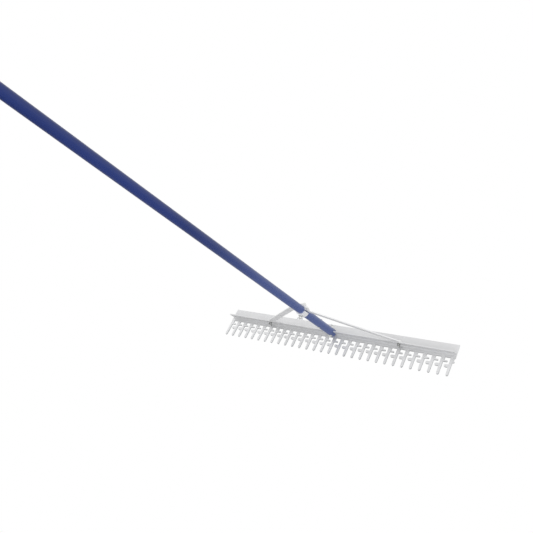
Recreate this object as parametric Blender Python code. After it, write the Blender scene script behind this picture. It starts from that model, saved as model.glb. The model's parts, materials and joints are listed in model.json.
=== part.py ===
"""Aluminium landscape rake: a toothed head, a tube handle, two braces and the fasteners between.

Every piece is modelled in the tool's own frame and hung on one empty:
  x runs along the head, -y runs along the handle to the user's end, z stands square to the handle,
  and the origin is where the middle of the head's rib meets the middle of its plate.
The empty then tips the tool so that it lies on its tooth tips and on the butt of its handle.
"""

import math

import bmesh
import bpy
from mathutils import Matrix, Vector

# ---------------------------------------------------------------- driving dimensions, in metres
FIT = 0.0003                    # gap kept between pieces that touch

# Head: one extrusion, a plate with a rib on the user's side, its teeth punched from the lower edge.
HEAD_LENGTH = 0.9144
PLATE_THICKNESS = 0.0048
FLANGE_HEIGHT = 0.034           # plate above the rib
TOOTH_REACH = 0.083             # plate and teeth below the rib
TOOTH_LEAN = math.radians(15)   # the plate leans, so that the tips point towards the user
RIB_DEPTH = 0.032
RIB_THICKNESS = 0.004
RIB_FILLET = 0.003

# Teeth: heights are measured down the plate from the rib, widths sideways from a tooth's centre line.
TOOTH_COUNT = 30
FIRST_TOOTH_INSET = 0.0045
LAST_TOOTH_INSET = 0.0108
TOOTH_LEFT = 0.0045
NECK_RIGHT = 0.0075
SHANK_RIGHT = 0.005
TIP_RADIUS = 0.004
SLOT_TOP = 0.017
FINGER_TOP = 0.0288
FINGER_BOTTOM = 0.034
FINGER_REACH = 0.019
BARB_TOP = 0.0432
BARB_BOTTOM = 0.053
BARB_REACH = 0.019
BARB_ROUND = 0.0042
PUNCH_ROUND = 0.0015            # radius that the punch leaves in the other corners

# Handle: a painted tube, slotted over the rib, with a dowel inside its foot and a cap on its butt.
HANDLE_LENGTH = 1.676
TUBE_DIAMETER = 0.0286
TUBE_WALL = 0.0016
DOWEL_LENGTH = 0.125
DOWEL_RIVET_AT = 0.111          # along the handle from the rib's root
CAP_LENGTH = 0.028
CAP_WALL = 0.0015
CAP_FLOOR = 0.003
CAP_ROUND = 0.002

# Braces: flat bars from the rib, each formed at its upper end into a strap over the handle. The left
# strap lies on the right one, and a half clamp under the handle takes their bolt.
BRACE_BOLT_SPAN = 0.528         # between the two bolts on the rib
RIB_BOLT_INSET = 0.021          # of the three bolts through the rib, from the plate's middle
BAR_WIDTH = 0.020
BAR_THICKNESS = 0.0036
BAR_BEND_AT = 0.031             # from the bolt to the bend, just past the rib's edge
SADDLE_AT = 0.2425              # of the bolt through the straps, along the handle from the rib's root
SADDLE_WIDTH = 0.025
STRAP_THICKNESS = 0.0032
STRAP_FAR_EDGE = 0.009          # height of a strap's plain edge above the handle's middle
EAR_REACH = 0.027               # from the handle's axis to the end of a strap's ear
RIGHT_EAR_HEIGHT = 0.003        # middle of the ear above the handle's middle
LEFT_EAR_HEIGHT = 0.012
RIGHT_BAR_AIM = -0.005          # of a bar's middle line past the bolt, along the handle
LEFT_BAR_AIM = 0.008
CLAMP_THICKNESS = 0.0046
CLAMP_EDGE = 0.0025             # depth of the clamp's edges below the handle's middle

# Fasteners.
HANDLE_BOLT_RADIUS = 0.003
RIB_BOLT_RADIUS = 0.0025
HANDLE_BOLT_HEAD_ACROSS = 0.010
HANDLE_BOLT_HEAD_HEIGHT = 0.004
DOME_RADIUS = 0.005
DOME_HEIGHT = 0.0028
WASHER_RADIUS = 0.006
WASHER_THICKNESS = 0.001
SADDLE_WASHER_RADIUS = 0.0078
SADDLE_WASHER_CREST = 0.0012    # its thickness over the handle's crest
RIVET_RADIUS = 0.0024
RIVET_HEAD_RADIUS = 0.0048
RIVET_HEAD_HEIGHT = 0.0022
NUT_HUB_RADIUS = 0.0052
NUT_HUB_HEIGHT = 0.006
WING_SPAN = 0.023               # of the wing nuts on the handle
RIB_WING_SPAN = 0.021           # of the smaller wing nuts under the rib
WING_HEIGHT = 0.011
WING_THICKNESS = 0.0022
BOLT_END_SPARE = 0.003          # how far a bolt stands out of its nut's hub

ROUND_SIDES = 32
SMALL_SIDES = 20

# ---------------------------------------------------------------- sizes that follow from them
TUBE_RADIUS = TUBE_DIAMETER / 2
TUBE_BORE = TUBE_RADIUS - TUBE_WALL
CAP_RADIUS = TUBE_RADIUS + FIT + CAP_WALL
FOOT_END = (PLATE_THICKNESS / 2 + TUBE_RADIUS * math.sin(TOOTH_LEAN)) / math.cos(TOOTH_LEAN) + FIT
BUTT_END = FOOT_END + HANDLE_LENGTH
CAP_END = BUTT_END + FIT + CAP_FLOOR
TOOTH_PITCH = (HEAD_LENGTH - FIRST_TOOTH_INSET - LAST_TOOTH_INSET) / (TOOTH_COUNT - 1)
RIGHT_STRAP_BORE = TUBE_RADIUS + FIT
LEFT_STRAP_BORE = RIGHT_STRAP_BORE + STRAP_THICKNESS + FIT
STRAPS_OUTER = LEFT_STRAP_BORE + STRAP_THICKNESS
CLAMP_BORE = TUBE_RADIUS + FIT
CLAMP_OUTER = CLAMP_BORE + CLAMP_THICKNESS
BAR_HEIGHT_ON_RIB = RIB_THICKNESS / 2 + FIT + BAR_THICKNESS / 2

COLOURS = {
    "aluminium": ((0.80, 0.81, 0.82), 0.38, 1.0),
    "blue_paint": ((0.035, 0.055, 0.22), 0.35, 0.0),
    "zinc": ((0.62, 0.63, 0.64), 0.35, 1.0),
    "black_vinyl": ((0.02, 0.02, 0.022), 0.6, 0.0),
    "dowel_wood": ((0.62, 0.45, 0.26), 0.8, 0.0),
}


# ---------------------------------------------------------------- small tools
def clear_scene():
    for thing in list(bpy.data.objects):
        bpy.data.objects.remove(thing, do_unlink=True)


def material(name):
    """A Principled material of one colour, made once."""
    if name in bpy.data.materials:
        return bpy.data.materials[name]
    made = bpy.data.materials.new(name)
    made.use_nodes = True
    shader = made.node_tree.nodes["Principled BSDF"]
    colour, roughness, metallic = COLOURS[name]
    shader.inputs["Base Color"].default_value = (*colour, 1.0)
    shader.inputs["Roughness"].default_value = roughness
    shader.inputs["Metallic"].default_value = metallic
    return made


def add_object(name, shape, parent, finish=None, place=Matrix.Identity(4), smooth=True):
    """Turns a bmesh into a named object that hangs on the parent."""
    bmesh.ops.recalc_face_normals(shape, faces=shape.faces)
    mesh = bpy.data.meshes.new(name)
    shape.to_mesh(mesh)
    shape.free()
    if smooth:
        mesh.shade_smooth()
        mesh.set_sharp_from_angle(angle=math.radians(35))
    thing = bpy.data.objects.new(name, mesh)
    bpy.context.scene.collection.objects.link(thing)
    thing.parent = parent
    thing.matrix_local = place
    if finish:
        mesh.materials.append(material(finish))
    return thing


def combine(target, helper, operation):
    """Adds or cuts a helper shape, which itself stays out of the model."""
    helper.hide_render = True
    helper.display_type = "WIRE"
    step = target.modifiers.new(helper.name, "BOOLEAN")
    step.operation = operation
    step.solver = "EXACT"
    step.object = helper


def rounded(corners, steps=2):
    """An outline from (x, y, radius) corners, each turned through an arc of the given steps."""
    outline = []
    count = len(corners)
    for index, (x, y, radius) in enumerate(corners):
        corner = Vector((x, y))
        before = Vector(corners[index - 1][:2]) - corner
        after = Vector(corners[(index + 1) % count][:2]) - corner
        if radius == 0 or before.length == 0 or after.length == 0:
            outline.append(corner)
            continue
        half_angle = before.angle(after) / 2
        tangent = min(radius / math.tan(half_angle), 0.49 * before.length, 0.49 * after.length)
        centre = corner + (before.normalized() + after.normalized()).normalized() * (
            tangent / math.cos(half_angle))
        start = corner + before.normalized() * tangent - centre
        turn = start.angle_signed(corner + after.normalized() * tangent - centre)
        for step in range(steps + 1):
            outline.append(centre + Matrix.Rotation(-turn * step / steps, 2) @ start)
    kept = [point for index, point in enumerate(outline)
            if (point - outline[index - 1]).length > 1e-6]
    return kept


def prism(outline, low, high, to_space):
    """A solid between two flat copies of an outline; to_space places a point (u, v, w)."""
    shape = bmesh.new()
    rings = [[shape.verts.new(to_space(u, v, w)) for u, v in outline] for w in (low, high)]
    shape.faces.new(rings[0])
    shape.faces.new(rings[1])
    for index in range(len(outline)):
        shape.faces.new((rings[0][index - 1], rings[0][index], rings[1][index], rings[1][index - 1]))
    return shape


def rod(radius, low, high, sides=SMALL_SIDES):
    """A solid round bar along z."""
    outline = [(radius * math.cos(2 * math.pi * k / sides), radius * math.sin(2 * math.pi * k / sides))
               for k in range(sides)]
    return prism(outline, low, high, lambda u, v, w: (u, v, w))


def turned(profile, sides=SMALL_SIDES):
    """A solid of revolution about z from (radius, height) points; a radius of zero closes a pole."""
    shape = bmesh.new()
    rings = []
    for radius, height in profile:
        if radius == 0:
            rings.append([shape.verts.new((0, 0, height))])
            continue
        rings.append([shape.verts.new((radius * math.cos(2 * math.pi * k / sides),
                                       radius * math.sin(2 * math.pi * k / sides), height))
                      for k in range(sides)])
    for below, above in zip(rings, rings[1:] + rings[:1]):
        for k in range(sides):
            corners = [below[k - 1 if len(below) > 1 else 0], below[k if len(below) > 1 else 0],
                       above[k if len(above) > 1 else 0], above[k - 1 if len(above) > 1 else 0]]
            corners = list(dict.fromkeys(corners))
            if len(corners) > 2:
                shape.faces.new(corners)
    return shape


def dome(radius, base, height, steps=4):
    """Profile points of a low dome, from its rim up to its pole."""
    return [(radius * math.cos(math.pi / 2 * k / steps) if k < steps else 0,
             base + height * math.sin(math.pi / 2 * k / steps)) for k in range(steps + 1)]


def along_handle(distance, x=0.0, z=0.0):
    """The place that lies the given distance up the handle from the rib's root."""
    return Matrix.Translation((x, -distance, z))


def upside_down(place):
    return place @ Matrix.Rotation(math.pi, 4, "X")


def drill(target, parent, radius, place, name):
    """A hole along z through a piece."""
    reach = 2 * TUBE_DIAMETER
    bit = add_object(name, rod(radius + FIT, -reach, reach), parent, place=place, smooth=False)
    combine(target, bit, "DIFFERENCE")


# ---------------------------------------------------------------- head
def on_plate(x, down, out):
    """A point of the plate: along the head, down the plate from the rib, and out of its face."""
    sine, cosine = math.sin(TOOTH_LEAN), math.cos(TOOTH_LEAN)
    return (x, -down * sine - out * cosine, -down * cosine + out * sine)


def tooth_corners(centre, is_first, right_end):
    """Corners of one tooth, from the slot on its left, round its tip, to the slot on its right."""
    left = centre - TOOTH_LEFT
    neck = min(centre + NECK_RIGHT, right_end)
    finger = min(centre + FINGER_REACH, right_end)
    corners = []
    if not is_first:
        barb = centre - BARB_REACH
        corners += [(left, SLOT_TOP, PUNCH_ROUND), (left, BARB_TOP, PUNCH_ROUND),
                    (barb, BARB_TOP, BARB_ROUND), (barb, BARB_BOTTOM, BARB_ROUND),
                    (left, BARB_BOTTOM, PUNCH_ROUND)]
    corners += [(centre - TIP_RADIUS, TOOTH_REACH, TIP_RADIUS),
                (centre + TIP_RADIUS, TOOTH_REACH, TIP_RADIUS),
                (centre + SHANK_RIGHT, FINGER_BOTTOM, PUNCH_ROUND),
                (finger, FINGER_BOTTOM, PUNCH_ROUND), (finger, FINGER_TOP, PUNCH_ROUND),
                (neck, FINGER_TOP, PUNCH_ROUND), (neck, SLOT_TOP, PUNCH_ROUND)]
    return corners


def plate_outline():
    """The plate's outline, down its left end, along its teeth and up its right end."""
    left_end, right_end = -HEAD_LENGTH / 2, HEAD_LENGTH / 2
    corners = [(left_end, -FLANGE_HEIGHT, 0), (left_end, SLOT_TOP, 0)]
    for index in range(TOOTH_COUNT):
        centre = left_end + FIRST_TOOTH_INSET + index * TOOTH_PITCH
        corners += tooth_corners(centre, index == 0, right_end)
    corners += [(right_end, SLOT_TOP, 0), (right_end, -FLANGE_HEIGHT, 0)]
    return rounded(corners)


def rib_outline():
    """The rib's section in (distance towards the user, height), with a fillet at its root."""
    half = RIB_THICKNESS / 2
    lean = math.tan(TOOTH_LEAN)
    face = PLATE_THICKNESS / 2 / math.cos(TOOTH_LEAN)
    spread = half + 2 * RIB_FILLET
    return rounded([(-lean * spread, spread, 0), (face - lean * spread, spread, 0),
                    (face - lean * half, half, RIB_FILLET), (RIB_DEPTH, half, RIB_FILLET / 6),
                    (RIB_DEPTH, -half, RIB_FILLET / 6), (face + lean * half, -half, RIB_FILLET),
                    (face + lean * spread, -spread, 0), (lean * spread, -spread, 0)])


def build_head(parent):
    plate = prism(plate_outline(), -PLATE_THICKNESS / 2, PLATE_THICKNESS / 2, on_plate)
    head = add_object("rake_head", plate, parent, "aluminium")
    rib = prism(rib_outline(), -HEAD_LENGTH / 2, HEAD_LENGTH / 2, lambda out, up, x: (x, -out, up))
    combine(head, add_object("rib_shape", rib, parent), "UNION")
    drill(head, parent, HANDLE_BOLT_RADIUS, along_handle(RIB_BOLT_INSET), "rib_foot_hole")
    for side, x in (("left", -BRACE_BOLT_SPAN / 2), ("right", BRACE_BOLT_SPAN / 2)):
        drill(head, parent, RIB_BOLT_RADIUS, along_handle(RIB_BOLT_INSET, x), f"rib_{side}_hole")


# ---------------------------------------------------------------- handle
def handle_axis(distance):
    """Turns a shape made along z so that it runs up the handle from the given distance."""
    return along_handle(distance) @ Matrix.Rotation(math.pi / 2, 4, "X")


def rib_slot(target, parent, name):
    """The slot at the handle's foot that the rib slides into."""
    half = RIB_THICKNESS / 2 + FIT
    reach = TUBE_DIAMETER
    box = [(-reach, -half), (reach, -half), (reach, half), (-reach, half)]
    shape = prism(box, -reach, RIB_DEPTH + FIT, lambda u, v, w: (u, -w, v))
    combine(target, add_object(name, shape, parent, smooth=False), "DIFFERENCE")


def build_handle(parent):
    tube = turned([(TUBE_RADIUS, 0), (TUBE_RADIUS, HANDLE_LENGTH), (TUBE_BORE, HANDLE_LENGTH),
                   (TUBE_BORE, 0)], ROUND_SIDES)
    handle = add_object("handle_tube", tube, parent, "blue_paint", handle_axis(FOOT_END))
    rib_slot(handle, parent, "tube_slot")
    drill(handle, parent, HANDLE_BOLT_RADIUS, along_handle(RIB_BOLT_INSET), "tube_foot_hole")
    drill(handle, parent, HANDLE_BOLT_RADIUS, along_handle(SADDLE_AT), "tube_saddle_hole")
    drill(handle, parent, RIVET_RADIUS, along_handle(DOWEL_RIVET_AT), "tube_rivet_hole")

    dowel = add_object("foot_dowel", rod(TUBE_BORE - FIT, 0, DOWEL_LENGTH, ROUND_SIDES), parent,
                       "dowel_wood", handle_axis(FOOT_END))
    rib_slot(dowel, parent, "dowel_slot")
    drill(dowel, parent, HANDLE_BOLT_RADIUS, along_handle(RIB_BOLT_INSET), "dowel_foot_hole")
    drill(dowel, parent, RIVET_RADIUS, along_handle(DOWEL_RIVET_AT), "dowel_rivet_hole")

    cap_bore = TUBE_RADIUS + FIT
    mouth = BUTT_END - CAP_LENGTH
    floor = BUTT_END + FIT
    cap = turned([(cap_bore, mouth), (cap_bore, floor), (0, floor), (0, CAP_END),
                  (CAP_RADIUS - CAP_ROUND, CAP_END),
                  (CAP_RADIUS - CAP_ROUND * 0.3, CAP_END - CAP_ROUND * 0.3),
                  (CAP_RADIUS, CAP_END - CAP_ROUND), (CAP_RADIUS, mouth)], ROUND_SIDES)
    add_object("handle_end_cap", cap, parent, "black_vinyl", handle_axis(0))


def build_rivet(parent):
    seat = TUBE_RADIUS + FIT
    top = dome(RIVET_HEAD_RADIUS, seat, RIVET_HEAD_HEIGHT)
    bottom = [(radius, -height) for radius, height in reversed(top)]
    shank = [(RIVET_RADIUS, -seat), (RIVET_RADIUS, seat)]
    profile = bottom + shank + top
    add_object("dowel_rivet", turned(profile), parent, "zinc", along_handle(DOWEL_RIVET_AT))


# ---------------------------------------------------------------- braces
def arc(radius, start, end, steps=14):
    return [(radius * math.cos(start + (end - start) * k / steps),
             radius * math.sin(start + (end - start) * k / steps)) for k in range(steps + 1)]


def strap_outline(bore, ear_height):
    """Section of a strap over the handle, its ear towards +x, in (x, height)."""
    outer = bore + STRAP_THICKNESS
    low, high = ear_height - STRAP_THICKNESS / 2, ear_height + STRAP_THICKNESS / 2
    far = math.pi - math.asin(STRAP_FAR_EDGE / (bore + STRAP_THICKNESS / 2))
    outside = arc(outer, math.asin(high / outer), far)
    inside = arc(bore, far, math.asin(low / bore))
    return outside + inside + [(EAR_REACH, low), (EAR_REACH, high)]


def bent_bar(length, rise):
    """A bar along x: a round-ended pad that lies on the rib, then a straight run that rises."""
    half = BAR_WIDTH / 2
    steps = 8
    pad = [(half * math.cos(math.pi / 2 + math.pi * k / steps),
            half * math.sin(math.pi / 2 + math.pi * k / steps)) for k in range(steps + 1)]
    outline = pad + [(BAR_BEND_AT, -half), (length, -half), (length, half), (BAR_BEND_AT, half)]
    shape = bmesh.new()
    rings = [[shape.verts.new((u, v, w + rise * max(0, u - BAR_BEND_AT) / (length - BAR_BEND_AT)))
              for u, v in outline] for w in (-BAR_THICKNESS / 2, BAR_THICKNESS / 2)]
    for ring_of_points in rings:
        shape.faces.new(ring_of_points[:-3] + ring_of_points[-1:])
        shape.faces.new(ring_of_points[-4:])
    for index in range(len(outline)):
        shape.faces.new((rings[0][index - 1], rings[0][index], rings[1][index], rings[1][index - 1]))
    return shape


def across_handle(outline):
    """A solid as wide as the saddle's seat on the handle, from its section in (x, height)."""
    low, high = SADDLE_AT - SADDLE_WIDTH / 2, SADDLE_AT + SADDLE_WIDTH / 2
    return prism(outline, low, high, lambda x, z, along: (x, -along, z))


def build_brace(parent, name, side, bore, ear_height, aim):
    """One brace; side is -1 on the left, and aim is where its bar meets the strap."""
    outline = [(side * x, z) for x, z in strap_outline(bore, ear_height)]
    brace = add_object(name, across_handle(outline), parent, "aluminium")

    start = Vector((side * BRACE_BOLT_SPAN / 2, -RIB_BOLT_INSET, BAR_HEIGHT_ON_RIB))
    ear_overlap = (EAR_REACH + bore + STRAP_THICKNESS) / 2
    run = Vector((side * ear_overlap, -SADDLE_AT - aim, BAR_HEIGHT_ON_RIB)) - start
    turn = Matrix.Rotation(math.atan2(run.y, run.x), 4, "Z")
    bar = bent_bar(run.length, ear_height - BAR_HEIGHT_ON_RIB)
    combine(brace, add_object(f"{name}_bar", bar, parent, place=Matrix.Translation(start) @ turn),
            "UNION")
    drill(brace, parent, RIB_BOLT_RADIUS, along_handle(RIB_BOLT_INSET, start.x), f"{name}_rib_hole")
    drill(brace, parent, HANDLE_BOLT_RADIUS, along_handle(SADDLE_AT), f"{name}_saddle_hole")


def build_handle_clamp(parent):
    """The half clamp under the handle."""
    edge = -math.asin(CLAMP_EDGE / (CLAMP_BORE + CLAMP_THICKNESS / 2))
    far = -math.pi - edge
    outline = arc(CLAMP_OUTER, edge, far) + arc(CLAMP_BORE, far, edge)
    clamp = add_object("handle_clamp", across_handle(outline), parent, "aluminium")
    drill(clamp, parent, HANDLE_BOLT_RADIUS, along_handle(SADDLE_AT), "clamp_hole")


# ---------------------------------------------------------------- fasteners
def ring(radius, bore, height):
    """A flat washer standing on z = 0."""
    return turned([(radius, 0), (radius, height), (bore, height), (bore, 0)])


def build_saddle_washer(parent, name, place, carrier_radius):
    """A washer that is flat outside and hollowed to sit on a round piece of the given radius."""
    skirt = carrier_radius - math.sqrt(carrier_radius**2 - SADDLE_WASHER_RADIUS**2)
    top = carrier_radius + FIT + SADDLE_WASHER_CREST
    base = carrier_radius + FIT - skirt * 0.8
    bore = HANDLE_BOLT_RADIUS + FIT
    shape = turned([(SADDLE_WASHER_RADIUS, base), (SADDLE_WASHER_RADIUS, top), (bore, top),
                    (bore, base)])
    washer = add_object(name, shape, parent, "zinc", place)
    reach = 2 * SADDLE_WASHER_RADIUS
    carrier = rod(carrier_radius + FIT, -reach, reach, 2 * ROUND_SIDES)
    turn = Matrix.Rotation(math.pi / 2, 4, "X")
    combine(washer, add_object(f"{name}_seat", carrier, parent, place=place @ turn), "DIFFERENCE")
    return top


def wing_outline(span):
    """Both wings in one outline (across, height): a low waist at the hub and two round ears."""
    reach = span / 2
    ear = WING_HEIGHT * 0.32
    waist = NUT_HUB_HEIGHT * 0.8
    side = [(0, 0.001, 0), (NUT_HUB_RADIUS, 0.001, 0), (reach - ear * 0.6, WING_HEIGHT * 0.3, 0.002),
            (reach, WING_HEIGHT - ear, ear), (reach, WING_HEIGHT, ear),
            (reach - ear * 1.6, WING_HEIGHT, ear), (NUT_HUB_RADIUS, waist + 0.001, 0.002)]
    mirrored = [(-x, z, radius) for x, z, radius in reversed(side[1:])]
    return rounded(side + mirrored, steps=3)


def build_wing_nut(parent, name, bolt_radius, span, place):
    """A wing nut about z, standing on z = 0, with its wings along y."""
    bore = bolt_radius + FIT
    waist = NUT_HUB_RADIUS * 0.8
    hub = turned([(NUT_HUB_RADIUS, 0), (waist, NUT_HUB_HEIGHT), (bore, NUT_HUB_HEIGHT), (bore, 0)])
    nut = add_object(name, hub, parent, "zinc", place)
    half = WING_THICKNESS / 2
    wings = prism(wing_outline(span), -half, half, lambda across, up, through: (through, across, up))
    wing_shape = add_object(f"{name}_wings", wings, parent, place=place)
    bit = add_object(f"{name}_bit", rod(bore, -WING_HEIGHT, 2 * WING_HEIGHT), parent, place=place)
    combine(wing_shape, bit, "DIFFERENCE")
    combine(nut, wing_shape, "UNION")


def build_bolt(parent, name, radius, head, place, length):
    """A bolt along -z from its head's underside at z = 0."""
    add_object(name, turned([(0, -length), (radius, -length), (radius, 0), *head]), parent, "zinc",
               place)


def build_hex_bolt(parent, name, place, length):
    """The same with a six-sided head."""
    across_corners = HANDLE_BOLT_HEAD_ACROSS / math.cos(math.pi / 6)
    shape = rod(across_corners / 2, 0, HANDLE_BOLT_HEAD_HEIGHT, 6)
    bolt = add_object(name, shape, parent, "zinc", place)
    shank = rod(HANDLE_BOLT_RADIUS, -length, HANDLE_BOLT_HEAD_HEIGHT / 2)
    combine(bolt, add_object(f"{name}_shank", shank, parent, place=place), "UNION")


def build_rib_fastening(parent, side, x):
    """The bolt, washers and wing nut that hold one brace on the rib."""
    at = along_handle(RIB_BOLT_INSET, x)
    bore = RIB_BOLT_RADIUS + FIT
    bar_top = BAR_HEIGHT_ON_RIB + BAR_THICKNESS / 2 + 2 * FIT
    nut_seat = RIB_THICKNESS / 2 + WASHER_THICKNESS + 2 * FIT
    head_seat = bar_top + WASHER_THICKNESS + FIT
    add_object(f"{side}_brace_washer", ring(WASHER_RADIUS, bore, WASHER_THICKNESS), parent, "zinc",
               at @ raised(bar_top))
    add_object(f"{side}_rib_washer", ring(WASHER_RADIUS, bore, WASHER_THICKNESS), parent, "zinc",
               upside_down(at) @ raised(RIB_THICKNESS / 2 + FIT))
    length = head_seat + nut_seat + NUT_HUB_HEIGHT + BOLT_END_SPARE
    build_bolt(parent, f"{side}_brace_bolt", RIB_BOLT_RADIUS, dome(DOME_RADIUS, 0, DOME_HEIGHT),
               at @ raised(head_seat), length)
    build_wing_nut(parent, f"{side}_wing_nut", RIB_BOLT_RADIUS, RIB_WING_SPAN,
                   upside_down(at) @ raised(nut_seat))


def raised(height):
    return Matrix.Translation((0, 0, height))


def build_handle_fastening(parent, label, distance, upper_radius, lower_radius, nut_on_top, turn):
    """The bolt, saddle washers and wing nut that go through the handle."""
    at = along_handle(distance)
    under = upside_down(at)
    top = build_saddle_washer(parent, f"{label}_upper_saddle_washer", at, upper_radius) + FIT
    bottom = build_saddle_washer(parent, f"{label}_lower_saddle_washer", under, lower_radius) + FIT
    head_side, nut_side = at @ raised(top), under @ raised(bottom)
    if nut_on_top:
        head_side, nut_side = nut_side, head_side
    length = top + bottom + NUT_HUB_HEIGHT + BOLT_END_SPARE
    build_hex_bolt(parent, f"{label}_bolt", head_side, length)
    build_wing_nut(parent, f"{label}_wing_nut", HANDLE_BOLT_RADIUS, WING_SPAN,
                   nut_side @ Matrix.Rotation(turn, 4, "Z"))


# ---------------------------------------------------------------- the whole rake
def lying_down():
    """Tips the tool onto its tooth tips and butt, with the origin under the middle of its box."""
    _, tip_y, tip_z = on_plate(0, TOOTH_REACH, -PLATE_THICKNESS / 2)
    _, back_y, back_z = on_plate(0, -FLANGE_HEIGHT, -PLATE_THICKNESS / 2)
    butt_y = -(CAP_END - CAP_ROUND)
    butt_z = -CAP_RADIUS
    tilt = math.atan2(butt_z - tip_z, tip_y - butt_y)
    sine, cosine = math.sin(tilt), math.cos(tilt)
    back = back_y * cosine - back_z * sine
    front = butt_y * cosine - (CAP_RADIUS - CAP_ROUND) * sine - CAP_ROUND
    lift = -(tip_y * sine + tip_z * cosine)
    return Matrix.Translation((0, -(back + front) / 2, lift)) @ Matrix.Rotation(tilt, 4, "X")


def build_rake():
    clear_scene()
    tool = bpy.data.objects.new("tool_frame", None)
    bpy.context.scene.collection.objects.link(tool)
    tool.matrix_world = lying_down()
    build_head(tool)
    build_handle(tool)
    build_rivet(tool)
    build_brace(tool, "left_brace", -1, LEFT_STRAP_BORE, LEFT_EAR_HEIGHT, LEFT_BAR_AIM)
    build_brace(tool, "right_brace", 1, RIGHT_STRAP_BORE, RIGHT_EAR_HEIGHT, RIGHT_BAR_AIM)
    build_handle_clamp(tool)
    build_rib_fastening(tool, "left", -BRACE_BOLT_SPAN / 2)
    build_rib_fastening(tool, "right", BRACE_BOLT_SPAN / 2)
    build_handle_fastening(tool, "foot", RIB_BOLT_INSET, TUBE_RADIUS, TUBE_RADIUS,
                           nut_on_top=True, turn=0)
    build_handle_fastening(tool, "saddle", SADDLE_AT, STRAPS_OUTER, CLAMP_OUTER,
                           nut_on_top=False, turn=math.pi / 2)


build_rake()
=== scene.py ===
# %% [markdown]
# # A wide aluminium rake, dressed around its CAD frame
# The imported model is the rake's skeleton: every piece is already there, at its real size.
# This lesson loads it, reads where the tool lies, and then gives each piece the finish and the
# small shapes that the eye expects: broken edges, a round tube, cast wing nuts and threads.

# %% Load the frame
import json
import math

import bpy
from mathutils import Matrix, Vector

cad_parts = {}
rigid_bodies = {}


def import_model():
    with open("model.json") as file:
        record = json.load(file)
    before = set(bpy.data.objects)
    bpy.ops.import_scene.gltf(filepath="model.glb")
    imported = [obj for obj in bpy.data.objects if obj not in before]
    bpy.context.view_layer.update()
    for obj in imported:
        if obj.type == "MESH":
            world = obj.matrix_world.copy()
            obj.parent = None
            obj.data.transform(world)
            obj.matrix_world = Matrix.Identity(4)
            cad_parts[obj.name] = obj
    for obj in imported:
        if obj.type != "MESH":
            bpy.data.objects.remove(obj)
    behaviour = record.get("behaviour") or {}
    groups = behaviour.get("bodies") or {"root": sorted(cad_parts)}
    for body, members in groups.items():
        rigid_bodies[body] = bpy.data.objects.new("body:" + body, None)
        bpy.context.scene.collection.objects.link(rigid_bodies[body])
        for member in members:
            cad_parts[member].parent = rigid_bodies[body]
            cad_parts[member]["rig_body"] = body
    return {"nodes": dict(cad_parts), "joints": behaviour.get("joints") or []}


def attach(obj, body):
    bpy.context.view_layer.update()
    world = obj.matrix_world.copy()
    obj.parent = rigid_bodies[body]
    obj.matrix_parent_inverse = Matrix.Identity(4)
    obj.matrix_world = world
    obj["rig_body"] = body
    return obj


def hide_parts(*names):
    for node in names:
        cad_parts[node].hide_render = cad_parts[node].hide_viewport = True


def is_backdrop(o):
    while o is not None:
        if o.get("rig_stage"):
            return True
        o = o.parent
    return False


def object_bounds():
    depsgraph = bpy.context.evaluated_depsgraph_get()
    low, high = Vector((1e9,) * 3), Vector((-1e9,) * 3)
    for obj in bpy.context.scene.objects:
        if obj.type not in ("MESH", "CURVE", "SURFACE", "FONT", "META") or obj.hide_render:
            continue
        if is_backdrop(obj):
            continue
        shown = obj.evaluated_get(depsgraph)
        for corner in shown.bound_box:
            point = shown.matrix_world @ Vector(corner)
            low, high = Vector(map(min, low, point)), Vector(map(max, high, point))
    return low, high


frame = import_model()
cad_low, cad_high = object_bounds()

# %% [markdown]
# ## Where the tool lies
# The rake was drawn upright in its own frame (x along the head, -y up the handle) and then tipped
# so that it lies on its tooth tips and its butt. Each wing nut turns about a bolt that stands
# square to the handle, so one hinge's axis gives the tip, and the two nuts under the rib give the
# place. Every new piece can then be drawn in the simple upright frame.

# %% The tool's own frame
RIB_BOLT_INSET = 0.021
RIB_NUT_MIDDLE = -0.0066

hinges = {joint["name"]: joint for joint in frame["joints"]}
bolt_line = Vector(hinges["foot_wing_nut_turn"]["axis"])
lean = Matrix.Rotation(math.atan2(-bolt_line.y, bolt_line.z), 4, "X")
left_nut_at = Vector(hinges["left_wing_nut_turn"]["pos_m"])
right_nut_at = Vector(hinges["right_wing_nut_turn"]["pos_m"])
between_nuts = (left_nut_at + right_nut_at) / 2
TOOL = Matrix.Translation(
    between_nuts - lean @ Vector((0, -RIB_BOLT_INSET, RIB_NUT_MIDDLE))) @ lean
FROM_WORLD = TOOL.inverted()


def box_of(node):
    """The low and the high corner of a CAD node in the tool's own frame."""
    source = frame["nodes"][node]
    points = [FROM_WORLD @ source.matrix_world @ vertex.co for vertex in source.data.vertices]
    return (Vector([min(point[axis] for point in points) for axis in range(3)]),
            Vector([max(point[axis] for point in points) for axis in range(3)]))


tube_low, tube_high = box_of("handle_tube")
TUBE_RADIUS = tube_high.x
TUBE_FOOT = -tube_high.y
TUBE_LENGTH = tube_high.y - tube_low.y
STRAPS_OUTER = box_of("left_brace")[1].z
CLAMP_OUTER = -box_of("handle_clamp")[0].z
print("tube", round(TUBE_LENGTH * 1000), "mm long, radius", round(TUBE_RADIUS * 1000, 2), "mm")
print("straps out to", round(STRAPS_OUTER * 1000, 1), "mm, clamp to", round(CLAMP_OUTER * 1000, 1))

# %% [markdown]
# ## The camera
# The photograph looks at the teeth from below, from the head's right end and the user's side, so
# the handle runs out of the picture. The lens and the place were worked out from the tooth tips,
# the ends of the rib and the line of the handle.

# %% Camera
PICTURE_WIDTH = 533
FOCAL_LENGTH_IN_PIXELS = 664.8
SENSOR_WIDTH = 36.0
CAMERA_AT = (1.174, -2.062, -0.502)
CAMERA_RIGHT = Vector((0.8102, 0.5072, 0.2939))
CAMERA_FORWARD = Vector((-0.5796, 0.7683, 0.2718))


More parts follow.
